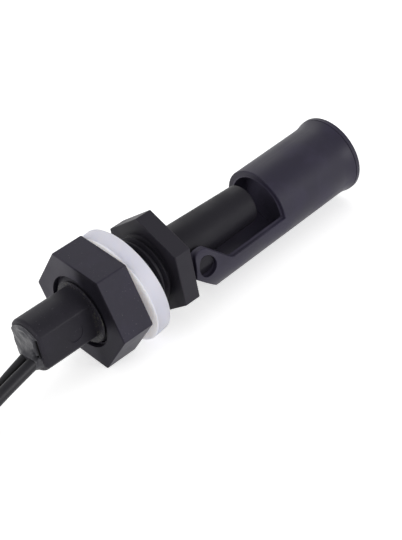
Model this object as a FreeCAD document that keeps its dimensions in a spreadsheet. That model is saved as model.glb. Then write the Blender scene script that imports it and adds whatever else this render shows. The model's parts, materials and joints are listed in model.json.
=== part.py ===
"""Side-mounted float level switch: a reed stem with a hinged float, lock nut, gasket and two-core cord.

The frame sits at the centre of the flange's rear face.  +X runs along the stem into the tank,
+Z is up and the float's hinge lies along Y.  All sizes are millimetres and degrees.
"""
import FreeCAD, Part
import math
import os
import Sketcher
from FreeCAD import Placement, Rotation, Vector

SIZES = [
    # hexagonal flange and threaded shank
    ("flange_across_flats", 21.4, "width of the flange hexagon"),
    ("flange_thickness", 4.2, "length of the flange along the stem"),
    ("flange_edge_radius", 0.25, "rounding of the flange edges"),
    ("thread_radius", 8.0, "crest radius of the M16 thread"),
    ("thread_length", 19.1, "threaded shank behind the flange"),
    ("thread_chamfer", 0.4, "lead-in at the end of the thread"),
    # cord boss behind the thread
    ("boss_radius", 6.15, "round part of the cord boss"),
    ("boss_across_flats", 9.9, "width between the boss flats"),
    ("boss_length", 13.7, "cord boss behind the thread"),
    ("boss_wall", 0.9, "wall around the resin pocket"),
    ("boss_edge_radius", 0.9, "rounding of the boss edges"),
    ("pocket_depth", 7.5, "depth of the resin pocket"),
    ("ejector_radius", 2.0, "round mould mark on one flat"),
    ("ejector_depth", 0.12, "depth of the mould mark"),
    ("ejector_setback", 5.3, "mould mark behind the thread"),
    # closed tube that holds the reed
    ("tube_root_radius", 5.37, "tube radius at the flange"),
    ("tube_tip_radius", 4.75, "tube radius at the closed tip"),
    ("tube_reach", 29.4, "closed tip in front of the frame origin"),
    ("tube_tip_rounding", 0.5, "edge rounding of the tip"),
    ("bore_radius", 3.3, "bore for the reed"),
    ("tip_wall", 1.4, "wall at the closed tip"),
    # hinge of the float
    ("pivot_reach", 9.37, "hinge axis in front of the frame origin"),
    ("pivot_drop", 2.22, "hinge axis below the stem axis"),
    ("trunnion_radius", 2.33, "hinge stud on each side of the tube"),
    ("hinge_clearance", 0.08, "radial running clearance of the hinge"),
    ("trunnion_span", 16.5, "end to end over both hinge studs"),
    ("shoulder_radius", 3.3, "step at the root of each stud"),
    ("cheek_gap", 11.9, "width between the float cheeks"),
    ("shoulder_clearance", 0.2, "side play of the float on its studs"),
    ("ramp_depth", 1.5, "snap-in ramp on the end of each stud"),
    # float
    ("float_radius", 9.04, "outer radius of the float"),
    ("float_wall", 1.6, "wall of the float"),
    ("float_axis_drop", 1.42, "float axis below its hinge"),
    ("float_tilt", 1.94, "rest tilt of the float, far end up"),
    ("cheek_back", 3.9, "rear edge of the cheeks behind the hinge"),
    ("cheek_top", 5.2, "top of the cheeks above the float axis"),
    ("cheek_lean", 2.0, "rear edge of the cheeks leans forward"),
    ("cheek_heel", 0.36, "rear corner where the 45 degree heel cut starts"),
    ("cheek_rounding", 2.2, "rounding of the cheek corners"),
    ("heel_rounding", 4.0, "rounding where the heel cut meets the round outside"),
    ("shell_edge_radius", 0.25, "softened edges of the float shell"),
    ("cheek_front", 7.0, "front foot of the cheeks before the hinge"),
    ("cheek_slot_length", 6.4, "flat-sided slot in front of the hinge"),
    ("cheek_crown", 1.2, "flat crown of the cheeks before the hinge"),
    ("trough_edge_drop", 0.54, "trough edges below the float axis"),
    ("shoulder_reach", 24.0, "open mouth of the barrel before the hinge"),
    ("mouth_depth", 4.2, "depth of the mouth"),
    ("bulkhead", 3.6, "wall between the mouth and the air chamber"),
    ("barrel_reach", 47.9, "end of the barrel before the hinge"),
    ("cap_gap", 0.15, "groove between the barrel and the cap"),
    ("cap_thickness", 1.25, "rim thickness of the cap"),
    ("cap_radius", 9.34, "rim radius of the cap"),
    ("cap_edge_radius", 0.4, "rounding of the cap edge"),
    ("cap_rim_radius", 0.25, "rounding of the rim towards the barrel"),
    ("spigot_length", 3.0, "plug of the cap inside the barrel"),
    ("fit_clearance", 0.05, "clearance of bonded and pressed pieces"),
    ("magnet_radius", 4.0, "float magnet"),
    ("magnet_thickness", 2.6, "float magnet"),
    ("magnet_front_wall", 1.0, "bulkhead in front of the magnet"),
    # lock nut and gasket
    ("nut_across_flats", 24.0, "width of the lock nut"),
    ("nut_thickness", 8.0, "length of the lock nut"),
    ("nut_turn", 19.4, "angle of the nut's corners from +Z towards +Y"),
    ("nut_corner_radius", 0.5, "rounding of the nut corners"),
    ("nut_edge_radius", 0.3, "rounding of the edges of the nut faces"),
    ("nut_thread_clearance", 0.05, "running clearance of the nut"),
    ("nut_countersink", 0.5, "lead-in chamfer of the nut bore"),
    ("gasket_radius", 13.1, "outer radius of the gasket"),
    ("gasket_hole_radius", 8.65, "hole of the gasket"),
    ("gasket_thickness", 3.8, "thickness of the gasket"),
    ("gasket_edge_radius", 0.3, "rounding of the gasket edges"),
    ("gasket_lean", 6.0, "lean of the loose gasket against the nut"),
    ("seat_gap", 0.05, "gap between pieces that touch"),
    # reed and wiring inside the tube
    ("reed_radius", 1.15, "glass capsule"),
    ("reed_length", 14.0, "glass capsule"),
    ("reed_front_gap", 3.4, "capsule behind the end of the bore"),
    ("reed_drop", 1.0, "capsule below the stem axis"),
    ("reed_wall", 0.25, "wall of the glass capsule"),
    ("reed_seal", 1.6, "solid glass seal at each end"),
    ("lead_radius", 0.3, "reed leads"),
    ("lead_length", 2.2, "straight lead outside the glass"),
    ("blade_thickness", 0.3, "flattened reed blade"),
    ("blade_gap", 0.1, "open contact gap"),
    ("blade_overlap", 1.0, "overlap of the blades"),
    ("solder_radius", 0.75, "solder joints"),
    ("solder_length", 1.6, "solder joints"),
    ("sleeve_radius", 0.9, "insulating sleeve of the return wire"),
    ("return_rise", 1.6, "return wire above the stem axis"),
    ("inner_wire_radius", 0.8, "insulated core inside the stem"),
    # resin and cord
    ("resin_recess", 0.25, "resin face inside the boss"),
    ("cord_width", 5.6, "width of the flat cord"),
    ("cord_height", 2.8, "thickness of the flat cord"),
    ("cord_drop", 3.0, "cord below the stem axis at the resin face"),
    ("cord_slope", 15.0, "downward slope of the cord at its exit"),
    ("collar_margin", 0.55, "resin meniscus around the cord"),
    ("collar_length", 1.2, "resin meniscus beyond the resin face"),
    ("collar_root", 3.0, "resin meniscus inside the resin"),
    ("core_entry", 3.0, "inner cores inside the resin"),
    ("floor_drop", 13.1, "surface under the part, below the stem axis"),
    # put-away cord
    ("hank_outer_radius", 20.5, "bend of the outer lap"),
    ("hank_lap_step", 3.2, "spacing of the laps"),
    ("hank_straight", 44.0, "straight run of each lap"),
    ("hank_near_end", 88.0, "near bend of the hank behind the frame origin"),
    ("hank_lead", 9.0, "straight lead into the hank"),
    ("hank_end_run", 14.0, "straight run of the last lap to the end of the jacket"),
    ("core_radius", 1.35, "one insulated core of the split end"),
    ("core_length", 22.0, "split end of the cord"),
    ("tinned_radius", 0.6, "bare tinned strands"),
    ("tinned_length", 6.0, "bare tinned strands"),
    ("tie_width", 4.0, "tie around the hank"),
    ("tie_thickness", 0.8, "tie around the hank"),
    ("tie_gap", 0.05, "tie around the hank"),
]

CORD_ROUTE = [
    # points after the exit: distance behind the frame origin, distance below the stem axis
    (41.9, 5.4),
    (50.3, 8.6),
    (58.0, 10.8),
    (67.5, 11.66),
    (79.0, 11.7),
]


class Term:
    """A number that also carries the spreadsheet expression it came from."""

    def __init__(self, value, text):
        self.value = float(value)
        self.text = text

    def __add__(self, other):
        other = term(other)
        return Term(self.value + other.value, f"({self.text} + {other.text})")

    def __sub__(self, other):
        other = term(other)
        return Term(self.value - other.value, f"({self.text} - {other.text})")

    def __mul__(self, other):
        other = term(other)
        return Term(self.value * other.value, f"({self.text} * {other.text})")

    def __truediv__(self, other):
        other = term(other)
        return Term(self.value / other.value, f"({self.text} / {other.text})")

    def __radd__(self, other):
        return term(other) + self

    def __rsub__(self, other):
        return term(other) - self

    def __rmul__(self, other):
        return term(other) * self

    def __neg__(self):
        return Term(-self.value, f"(-1 * {self.text})")


def term(number):
    """Wrap a plain number; a Term passes through."""
    return number if isinstance(number, Term) else Term(number, repr(float(number)))


def root(number):
    """Square root of a Term."""
    return Term(math.sqrt(number.value), f"sqrt({number.text})")


def sine(angle):
    """Sine of a Term in degrees."""
    return Term(math.sin(math.radians(angle.value)), f"sin({angle.text} * 1deg)")


def cosine(angle):
    """Cosine of a Term in degrees."""
    return Term(math.cos(math.radians(angle.value)), f"cos({angle.text} * 1deg)")


doc = FreeCAD.newDocument("float_level_switch")
sheet = doc.addObject("Spreadsheet::Sheet", "Sizes")
for row, (alias, value, note) in enumerate(SIZES, start=1):
    sheet.set(f"A{row}", note)
    sheet.set(f"B{row}", str(value))
    sheet.setAlias(f"B{row}", alias)
doc.recompute()
size = {alias: Term(sheet.get(alias), f"Sizes.{alias}") for alias, value, note in SIZES}


def bind(target, path, number):
    """Tie one property of an object to a Term."""
    target.setExpression(path, term(number).text)


def place(target, x=0.0, y=0.0, z=0.0):
    """Bind the position of an object."""
    bind(target, "Placement.Base.x", x)
    bind(target, "Placement.Base.y", y)
    bind(target, "Placement.Base.z", z)


def turn(target, axis, angle):
    """Bind the turn of an object about one axis."""
    target.Placement = Placement(target.Placement.Base, Rotation(axis, term(angle).value))
    bind(target, "Placement.Rotation.Angle", term(angle) * Term(1.0, "1deg"))


def new_body(label):
    """Add a PartDesign body."""
    body = doc.addObject("PartDesign::Body", label)
    body.Label = label
    return body


def new_sketch(body, name, role, offset=None):
    """Add a sketch on one origin plane of its body, moved along the plane's normal."""
    sketch = body.newObject("Sketcher::SketchObject", name)
    plane = [item for item in body.Origin.OriginFeatures if item.Role == role][0]
    sketch.AttachmentSupport = [(plane, "")]
    sketch.MapMode = "FlatFace"
    if offset is not None:
        bind(sketch, "AttachmentOffset.Base.z", offset)
    return sketch


def pin_point(sketch, geometry, point, x, y):
    """Fix one sketch point at bound coordinates."""
    for kind, coordinate in (("DistanceX", x), ("DistanceY", y)):
        number = term(coordinate)
        index = sketch.addConstraint(Sketcher.Constraint(kind, -1, 1, geometry, point, number.value))
        sketch.setExpression(f"Constraints[{index}]", number.text)


def polygon(sketch, corners):
    """Draw a closed polygon whose corners are pairs of Terms."""
    first = sketch.GeometryCount
    points = [Vector(term(x).value, term(y).value, 0) for x, y in corners]
    for index, start in enumerate(points):
        end = points[(index + 1) % len(points)]
        sketch.addGeometry(Part.LineSegment(start, end), False)
    for index, (x, y) in enumerate(corners):
        following = first + (index + 1) % len(corners)
        sketch.addConstraint(Sketcher.Constraint("Coincident", first + index, 2, following, 1))
        pin_point(sketch, first + index, 1, x, y)


def circle(sketch, x, y, radius):
    """Draw a circle with a bound centre and radius."""
    radius = term(radius)
    centre = Vector(term(x).value, term(y).value, 0)
    number = sketch.addGeometry(Part.Circle(centre, Vector(0, 0, 1), radius.value), False)
    pin_point(sketch, number, 3, x, y)
    index = sketch.addConstraint(Sketcher.Constraint("Radius", number, radius.value))
    sketch.setExpression(f"Constraints[{index}]", radius.text)


def hexagon(sketch, across_flats):
    """Draw a hexagon about the origin with corners on the vertical sketch axis."""
    corner = across_flats / root(term(3.0))
    corners = []
    for step in range(6):
        angle = term(60.0 * step + 90.0)
        corners.append((corner * cosine(angle), corner * sine(angle)))
    polygon(sketch, corners)


def double_flat(sketch, radius, across_flats):
    """Draw a circle cut by two flats that face left and right."""
    half = across_flats / 2
    rise = root(radius * radius - half * half)
    top, low = Vector(0, 0, 0), Vector(0, 0, 0)
    right, left = half.value, -half.value
    high = rise.value
    span = math.atan2(high, right)
    sketch.addGeometry(Part.LineSegment(Vector(right, -high, 0), Vector(right, high, 0)), False)
    upper = Part.Circle(top, Vector(0, 0, 1), radius.value)
    sketch.addGeometry(Part.ArcOfCircle(upper, span, math.pi - span), False)
    sketch.addGeometry(Part.LineSegment(Vector(left, high, 0), Vector(left, -high, 0)), False)
    lower = Part.Circle(low, Vector(0, 0, 1), radius.value)
    sketch.addGeometry(Part.ArcOfCircle(lower, math.pi + span, 2 * math.pi - span), False)
    for line_end, arc, arc_end in ((0, 1, 1), (2, 1, 2), (2, 3, 1), (0, 3, 2)):
        point = 2 if (line_end, arc) in ((0, 1), (2, 3)) else 1
        sketch.addConstraint(Sketcher.Constraint("Coincident", line_end, point, arc, arc_end))
    pin_point(sketch, 0, 1, half, -rise)
    pin_point(sketch, 0, 2, half, rise)
    pin_point(sketch, 2, 1, -half, rise)
    pin_point(sketch, 2, 2, -half, -rise)
    for arc in (1, 3):
        index = sketch.addConstraint(Sketcher.Constraint("Radius", arc, radius.value))
        sketch.setExpression(f"Constraints[{index}]", radius.text)


def feature(body, kind, name, sketch):
    """Add a sketch-based feature and hide nothing else of the body."""
    item = body.newObject(f"PartDesign::{kind}", name)
    item.Profile = sketch
    return item


def revolve(body, kind, name, sketch):
    """Revolve a sketch all the way round the body's X axis."""
    item = feature(body, kind, name, sketch)
    axis = [part for part in body.Origin.OriginFeatures if part.Role == "X_Axis"][0]
    item.ReferenceAxis = (axis, [""])
    item.Angle = 360.0
    return item


def extrude(body, kind, name, sketch, length, midplane=False, reverse=False):
    """Pad or pocket a sketch by a bound length."""
    item = feature(body, kind, name, sketch)
    item.Reversed = reverse
    if midplane:
        item.SideType = "Symmetric"
    bind(item, "Length", length)
    return item


def round_edges(body, name, radius, chosen):
    """Fillet the edges of the body's tip that a test picks out."""
    doc.recompute()
    base = body.Tip
    edges = [f"Edge{number}" for number, edge in enumerate(base.Shape.Edges, 1) if chosen(edge)]
    item = body.newObject("PartDesign::Fillet", name)
    item.Base = (base, edges)
    bind(item, "Radius", radius)
    return item


def make_stem():
    """One moulding: flange, threaded shank, cord boss, reed tube and hinge studs."""
    body = new_body("stem_body")
    back = size["thread_length"] + size["boss_length"]
    outline = new_sketch(body, "stem_outline", "XZ_Plane")
    chamfer_start = size["thread_chamfer"] - size["thread_length"]
    polygon(outline, [
        (-size["thread_length"], term(0)),
        (-size["thread_length"], size["thread_radius"] - size["thread_chamfer"]),
        (chamfer_start, size["thread_radius"]),
        (size["flange_thickness"], size["thread_radius"]),
        (size["flange_thickness"], size["tube_root_radius"]),
        (size["tube_reach"], size["tube_tip_radius"]),
        (size["tube_reach"], term(0)),
    ])
    revolve(body, "Revolution", "shank_and_tube", outline)
    reach = size["tube_reach"].value
    round_edges(body, "tip_rounding", size["tube_tip_rounding"], lambda edge: lies_at_x(edge, reach))
    flange = new_sketch(body, "flange_outline", "YZ_Plane")
    hexagon(flange, size["flange_across_flats"])
    extrude(body, "Pad", "flange", flange, size["flange_thickness"])
    thick = size["flange_thickness"].value
    round_edges(body, "flange_rounding", size["flange_edge_radius"],
                lambda edge: is_straight(edge) and (lies_at_x(edge, 0.0) or lies_at_x(edge, thick)
                                                    or runs_along_x(edge, thick / 2)))
    boss = new_sketch(body, "boss_outline", "YZ_Plane", -size["thread_length"])
    double_flat(boss, size["boss_radius"], size["boss_across_flats"])
    extrude(body, "Pad", "cord_boss", boss, size["boss_length"], reverse=True)
    middle = -(back.value + size["thread_length"].value) / 2
    rear = -back.value
    round_edges(body, "boss_rounding", size["boss_edge_radius"],
                lambda edge: runs_along_x(edge, middle) or lies_at_x(edge, rear))
    hinge_x, hinge_z = size["pivot_reach"], -size["pivot_drop"]
    shoulder = new_sketch(body, "shoulder_outline", "XZ_Plane")
    circle(shoulder, hinge_x, hinge_z, size["shoulder_radius"])
    extrude(body, "Pad", "stud_shoulders", shoulder, size["cheek_gap"] - 2 * size["shoulder_clearance"],
            midplane=True)
    stud = new_sketch(body, "stud_outline", "XZ_Plane")
    circle(stud, hinge_x, hinge_z, size["trunnion_radius"])
    extrude(body, "Pad", "hinge_studs", stud, size["trunnion_span"], midplane=True)
    cut_ramps(body, hinge_x, hinge_z)
    bore = new_sketch(body, "bore_outline", "XZ_Plane")
    pocket_floor = size["pocket_depth"] - back
    bore_end = size["tube_reach"] - size["tip_wall"]
    polygon(bore, [
        (pocket_floor - 1, term(0)),
        (pocket_floor - 1, size["bore_radius"]),
        (bore_end, size["bore_radius"]),
        (bore_end, term(0)),
    ])
    revolve(body, "Groove", "reed_bore", bore)
    pocket = new_sketch(body, "pocket_outline", "YZ_Plane", -back)
    double_flat(pocket, size["boss_radius"] - size["boss_wall"],
                size["boss_across_flats"] - 2 * size["boss_wall"])
    extrude(body, "Pocket", "resin_pocket", pocket, size["pocket_depth"], reverse=True)
    mark = new_sketch(body, "mark_outline", "XZ_Plane", size["boss_across_flats"] / 2)
    circle(mark, -(size["thread_length"] + size["ejector_setback"]), term(0), size["ejector_radius"])
    extrude(body, "Pocket", "mould_mark", mark, size["ejector_depth"])
    return body


def lies_at_x(edge, x):
    """Whether every end of an edge has the given X."""
    return all(abs(vertex.X - x) < 1e-4 for vertex in edge.Vertexes)


def has_curve(edge, kind):
    """Whether an edge's curve is of one kind, such as GeomLine or GeomEllipse."""
    try:
        return edge.Curve.TypeId == f"Part::{kind}"
    except TypeError:
        return False


def is_straight(edge):
    """Whether an edge is a straight line."""
    return has_curve(edge, "GeomLine")


def runs_along_x(edge, x):
    """Whether a straight edge runs along X with its middle at the given X."""
    if not is_straight(edge):
        return False
    along = abs(abs(edge.Curve.Direction.x) - 1) < 1e-6
    return along and abs(edge.CenterOfMass.x - x) < 1e-4


def cut_ramps(body, hinge_x, hinge_z):
    """Slope the lower half of each stud's end so that the float snaps on."""
    ramps = new_sketch(body, "ramp_outline", "YZ_Plane", hinge_x)
    low = hinge_z - size["trunnion_radius"] - 1
    for side in (-1, 1):
        end = side * size["trunnion_span"] / 2
        polygon(ramps, [
            (end, hinge_z),
            (end - side * size["ramp_depth"], low),
            (end + side * 1, low),
            (end + side * 1, hinge_z),
        ])
    extrude(body, "Pocket", "snap_ramps", ramps, 4 * size["trunnion_radius"], midplane=True)


def make_lock_nut():
    """Hexagonal lock nut, turned so that its corners stand as they came to rest."""
    body = new_body("lock_nut")
    outline = new_sketch(body, "nut_outline", "YZ_Plane")
    hexagon(outline, size["nut_across_flats"])
    extrude(body, "Pad", "nut_blank", outline, size["nut_thickness"])
    middle = size["nut_thickness"].value / 2
    round_edges(body, "corner_rounding", size["nut_corner_radius"], lambda edge: runs_along_x(edge, middle))
    round_edges(body, "face_rounding", size["nut_edge_radius"],
                lambda edge: lies_at_x(edge, 0.0) or lies_at_x(edge, 2 * middle))
    bore = new_sketch(body, "thread_outline", "XZ_Plane")
    radius = size["thread_radius"] + size["nut_thread_clearance"]
    flare = radius + size["nut_countersink"]
    polygon(bore, [
        (term(0), term(0)),
        (term(0), flare),
        (size["nut_countersink"], radius),
        (size["nut_thickness"] - size["nut_countersink"], radius),
        (size["nut_thickness"], flare),
        (size["nut_thickness"], term(0)),
    ])
    revolve(body, "Groove", "thread_bore", bore)
    turn(body, Vector(-1, 0, 0), size["nut_turn"])
    place(body, x=-size["thread_length"])
    return body


def make_gasket():
    """Soft ring on the thread, leaning with its top edge against the nut."""
    body = new_body("gasket")
    outline = new_sketch(body, "gasket_outline", "YZ_Plane")
    circle(outline, term(0), term(0), size["gasket_radius"])
    circle(outline, term(0), term(0), size["gasket_hole_radius"])
    extrude(body, "Pad", "gasket_ring", outline, size["gasket_thickness"], midplane=True)
    round_edges(body, "gasket_rounding", size["gasket_edge_radius"],
                lambda edge: has_curve(edge, "GeomCircle"))
    turn(body, Vector(0, -1, 0), size["gasket_lean"])
    nut_face = size["nut_thickness"] - size["thread_length"]
    lean = size["gasket_lean"]
    reach_back = size["gasket_thickness"] / 2 * cosine(lean) + size["gasket_radius"] * sine(lean)
    place(body, x=nut_face + size["seat_gap"] + reach_back)
    return body


def seat_on_hinge(body):
    """Put a float piece at the hinge, tilted as the float rests."""
    tilt, drop = size["float_tilt"], size["float_axis_drop"]
    turn(body, Vector(0, -1, 0), tilt)
    place(body, x=size["pivot_reach"] + drop * sine(tilt), z=-size["pivot_drop"] - drop * cosine(tilt))


def make_float_shell():
    """One moulding: hinge cheeks, half-round trough and the barrel with its bulkhead."""
    body = new_body("float_shell")
    radius = size["float_radius"]
    inner = radius - size["float_wall"]
    back = -size["cheek_back"]
    outline = new_sketch(body, "shell_outline", "XZ_Plane")
    polygon(outline, [
        (back, term(0)),
        (back, radius),
        (size["barrel_reach"], radius),
        (size["barrel_reach"], term(0)),
    ])
    revolve(body, "Revolution", "shell_blank", outline)
    bulkhead_front = size["shoulder_reach"] + size["mouth_depth"]
    chamber = bulkhead_front + size["bulkhead"]
    hollows = new_sketch(body, "hollow_outline", "XZ_Plane")
    for start, end in ((size["cheek_slot_length"], bulkhead_front), (chamber, size["barrel_reach"])):
        polygon(hollows, [(start, term(0)), (start, inner), (end, inner), (end, term(0))])
    revolve(body, "Groove", "trough_and_chamber", hollows)
    seat = new_sketch(body, "magnet_seat_outline", "XZ_Plane")
    seat_front = bulkhead_front + size["magnet_front_wall"]
    seat_radius = size["magnet_radius"] + size["fit_clearance"]
    polygon(seat, [
        (seat_front, term(0)),
        (seat_front, seat_radius),
        (chamber + 1, seat_radius),
        (chamber + 1, term(0)),
    ])
    revolve(body, "Groove", "magnet_seat", seat)
    cut_cheek_slot(body, inner)
    cut_side_profile(body, radius)
    hole = new_sketch(body, "hinge_hole_outline", "XZ_Plane")
    circle(hole, term(0), size["float_axis_drop"], size["trunnion_radius"] + size["hinge_clearance"])
    extrude(body, "Pocket", "hinge_holes", hole, 4 * radius, midplane=True)
    round_edges(body, "outline_rounding", size["shell_edge_radius"],
                lambda edge: follows_outside(edge, radius.value))
    seat_on_hinge(body)
    return body


def follows_outside(edge, radius):
    """Whether an edge of the float shell runs on its outside, above the heel and clear of seams."""
    points = edge.discretize(5)
    outside = all(abs(math.hypot(point.y, point.z) - radius) < 1e-3 for point in points)
    across = max(abs(point.y) for point in points)
    heel = min(point.z for point in points) < -radius / 2 and len(edge.Vertexes) > 1
    hole = len(edge.Vertexes) == 1 and across > radius - 1 and points[0].x < radius
    return outside and across > 0.01 and not heel and not hole


def cut_cheek_slot(body, inner):
    """Open the flat-sided slot between the cheeks down to the round floor."""
    slot = new_sketch(body, "slot_outline", "YZ_Plane", size["cheek_slot_length"])
    half = size["cheek_gap"] / 2
    foot = root(inner * inner - half * half)
    top = size["float_radius"] * 2
    corners = [(half, -foot), (half, top), (-half, top), (-half, -foot)]
    for index in range(3):
        ends = [Vector(x.value, y.value, 0) for x, y in corners[index:index + 2]]
        slot.addGeometry(Part.LineSegment(*ends), False)
        if index:
            slot.addConstraint(Sketcher.Constraint("Coincident", index - 1, 2, index, 1))
        pin_point(slot, index, 1, *corners[index])
    pin_point(slot, 2, 2, *corners[3])
    swing = math.atan2(foot.value, half.value)
    floor = Part.Circle(Vector(0, 0, 0), Vector(0, 0, 1), inner.value)
    slot.addGeometry(Part.ArcOfCircle(floor, math.pi + swing, 2 * math.pi - swing), False)
    slot.addConstraint(Sketcher.Constraint("Coincident", 2, 2, 3, 1))
    slot.addConstraint(Sketcher.Constraint("Coincident", 3, 2, 0, 1))
    index = slot.addConstraint(Sketcher.Constraint("Radius", 3, inner.value))
    slot.setExpression(f"Constraints[{index}]", inner.text)
    extrude(body, "Pocket", "cheek_slot", slot, size["cheek_slot_length"] + size["cheek_back"] + 1)


def cut_side_profile(body, radius):
    """Cut the open top of the trough, the cheek outline and the 45 degree heel."""
    profile = new_sketch(body, "profile_outline", "XZ_Plane")
    far, edge = radius + 3, -size["trough_edge_drop"]
    back, lean = -size["cheek_back"], size["cheek_lean"]
    polygon(profile, [
        (size["shoulder_reach"], far),
        (size["shoulder_reach"], edge),
        (size["cheek_front"], edge),
        (size["cheek_crown"], size["cheek_top"]),
        (back + lean, size["cheek_top"]),
        (back, size["cheek_heel"]),
        (back + size["cheek_heel"] + far, -far),
        (back - 5, -far),
        (back - 5, far),
    ])
    extrude(body, "Pocket", "side_profile", profile, 4 * radius, midplane=True)
    corners = [(size["cheek_crown"].value, size["cheek_top"].value),
               ((back + lean).value, size["cheek_top"].value),
               (size["cheek_front"].value, edge.value)]
    round_edges(body, "cheek_corner_rounding", size["cheek_rounding"],
                lambda side: any(crosses_at(side, x, z) for x, z in corners))
    round_heel(body, radius)


def round_heel(body, radius):
    """Round the corner where the 45 degree heel cut meets the underside."""
    bend = size["heel_rounding"]
    reach = bend * (root(term(2.0)) - 1)
    slant = reach / root(term(2.0))
    corner = radius + size["cheek_heel"] - size["cheek_back"]
    upper = (corner - slant, slant - radius)
    lower = (corner + reach, -radius)
    outside, below = corner - slant - 5, -radius - 3
    scrap = new_sketch(body, "heel_outline", "XZ_Plane")
    corners = [lower, (corner + reach, below), (outside, below), (outside, slant - radius), upper]
    for index, (start, end) in enumerate(zip(corners, corners[1:])):
        ends = [Vector(x.value, y.value, 0) for x, y in (start, end)]
        scrap.addGeometry(Part.LineSegment(*ends), False)
        if index:
            scrap.addConstraint(Sketcher.Constraint("Coincident", index - 1, 2, index, 1))
        pin_point(scrap, index, 1, *start)
    pin_point(scrap, 3, 2, *upper)
    turn_circle = Part.Circle(Vector(lower[0].value, (bend - radius).value, 0), Vector(0, 0, 1), bend.value)
    scrap.addGeometry(Part.ArcOfCircle(turn_circle, 1.25 * math.pi, 1.5 * math.pi), False)
    scrap.addConstraint(Sketcher.Constraint("Coincident", 3, 2, 4, 1))
    scrap.addConstraint(Sketcher.Constraint("Coincident", 4, 2, 0, 1))
    index = scrap.addConstraint(Sketcher.Constraint("Radius", 4, bend.value))
    scrap.setExpression(f"Constraints[{index}]", bend.text)
    extrude(body, "Pocket", "heel_round", scrap, 4 * radius, midplane=True)


def crosses_at(edge, x, z):
    """Whether an edge runs across the body at the given X and Z."""
    at_corner = all(abs(vertex.X - x) < 1e-4 and abs(vertex.Z - z) < 1e-4 for vertex in edge.Vertexes)
    return is_straight(edge) and at_corner


def make_float_cap():
    """End cap plugged into the barrel, with a rim that stands a little proud."""
    body = new_body("float_cap")
    rim = size["barrel_reach"] + size["cap_gap"]
    plug = size["float_radius"] - size["float_wall"] - size["fit_clearance"]
    end = rim + size["cap_thickness"]
    outline = new_sketch(body, "cap_outline", "XZ_Plane")
    polygon(outline, [
        (size["barrel_reach"] - size["spigot_length"], term(0)),
        (size["barrel_reach"] - size["spigot_length"], plug),
        (rim, plug),
        (rim, size["cap_radius"]),
        (end, size["cap_radius"]),
        (end, term(0)),
    ])
    revolve(body, "Revolution", "cap_blank", outline)
    round_edges(body, "cap_rounding", size["cap_edge_radius"], lambda edge: lies_at_x(edge, end.value))
    round_edges(body, "rim_rounding", size["cap_rim_radius"],
                lambda edge: lies_at_x(edge, rim.value) and edge.Curve.Radius > size["float_radius"].value)
    seat_on_hinge(body)
    return body


def make_magnet():
    """Disc magnet pressed into the bulkhead."""
    body = new_body("float_magnet")
    front = size["shoulder_reach"] + size["mouth_depth"] + size["magnet_front_wall"]
    outline = new_sketch(body, "magnet_outline", "XZ_Plane")
    polygon(outline, [
        (front, term(0)),
        (front, size["magnet_radius"]),
        (front + size["magnet_thickness"], size["magnet_radius"]),
        (front + size["magnet_thickness"], term(0)),
    ])
    revolve(body, "Revolution", "magnet_disc", outline)
    seat_on_hinge(body)
    return body


def rod(label, start, length, radius, y=0.0, z=0.0):
    """A round piece that lies along X."""
    item = doc.addObject("Part::Cylinder", label)
    item.Label = label
    item.Placement = Placement(Vector(0, 0, 0), Rotation(Vector(0, 1, 0), 90))
    bind(item, "Radius", radius)
    bind(item, "Height", length)
    place(item, start, y, z)
    return item


def slab(label, start, low_y, low_z, length, width, height):
    """A block aligned with the frame."""
    item = doc.addObject("Part::Box", label)
    item.Label = label
    bind(item, "Length", length)
    bind(item, "Width", width)
    bind(item, "Height", height)
    place(item, start, low_y, low_z)
    return item


def fuse(label, base, tool):
    """Join two primitives into one named piece."""
    item = doc.addObject("Part::Fuse", label)
    item.Label = label
    item.Base = base
    item.Tool = tool
    return item


def cut(label, base, tool):
    """Take one primitive away from another."""
    item = doc.addObject("Part::Cut", label)
    item.Label = label
    item.Base = base
    item.Tool = tool
    return item


def make_reed():
    """Glass capsule with two blades whose leads leave at its ends."""
    front = size["tube_reach"] - size["tip_wall"] - size["reed_front_gap"]
    rear = front - size["reed_length"]
    centre = -size["reed_drop"]
    glass = new_body("reed_glass")
    outline = new_sketch(glass, "glass_outline", "XZ_Plane")
    inside = size["reed_radius"] - size["reed_wall"]
    far = size["reed_length"]
    polygon(outline, [
        (term(0), size["lead_radius"]),
        (term(0), size["reed_radius"]),
        (far, size["reed_radius"]),
        (far, size["lead_radius"]),
        (far - size["reed_seal"], size["lead_radius"]),
        (far - size["reed_seal"], inside),
        (size["reed_seal"], inside),
        (size["reed_seal"], size["lead_radius"]),
    ])
    revolve(glass, "Revolution", "capsule", outline)
    place(glass, x=rear, z=centre)
    blade = (size["reed_length"] + size["blade_overlap"]) / 2 - size["reed_seal"] + size["lead_radius"]
    round_length = size["reed_seal"] + size["lead_length"]
    low = centre - size["blade_gap"] / 2 - size["blade_thickness"]
    high = centre + size["blade_gap"] / 2
    front_wire = rod("front_lead_wire", front - size["reed_seal"], round_length, size["lead_radius"], z=centre)
    front_blade = slab("front_blade_strip", front - size["reed_seal"] + size["lead_radius"] - blade,
                       -size["lead_radius"], high, blade, 2 * size["lead_radius"], size["blade_thickness"])
    rear_wire = rod("rear_lead_wire", rear - size["lead_length"], round_length, size["lead_radius"], z=centre)
    rear_blade = slab("rear_blade_strip", rear + size["reed_seal"] - size["lead_radius"],
                      -size["lead_radius"], low, blade, 2 * size["lead_radius"], size["blade_thickness"])
    return [glass, fuse("reed_blade_front", front_wire, front_blade),
            fuse("reed_blade_rear", rear_wire, rear_blade)]


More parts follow.
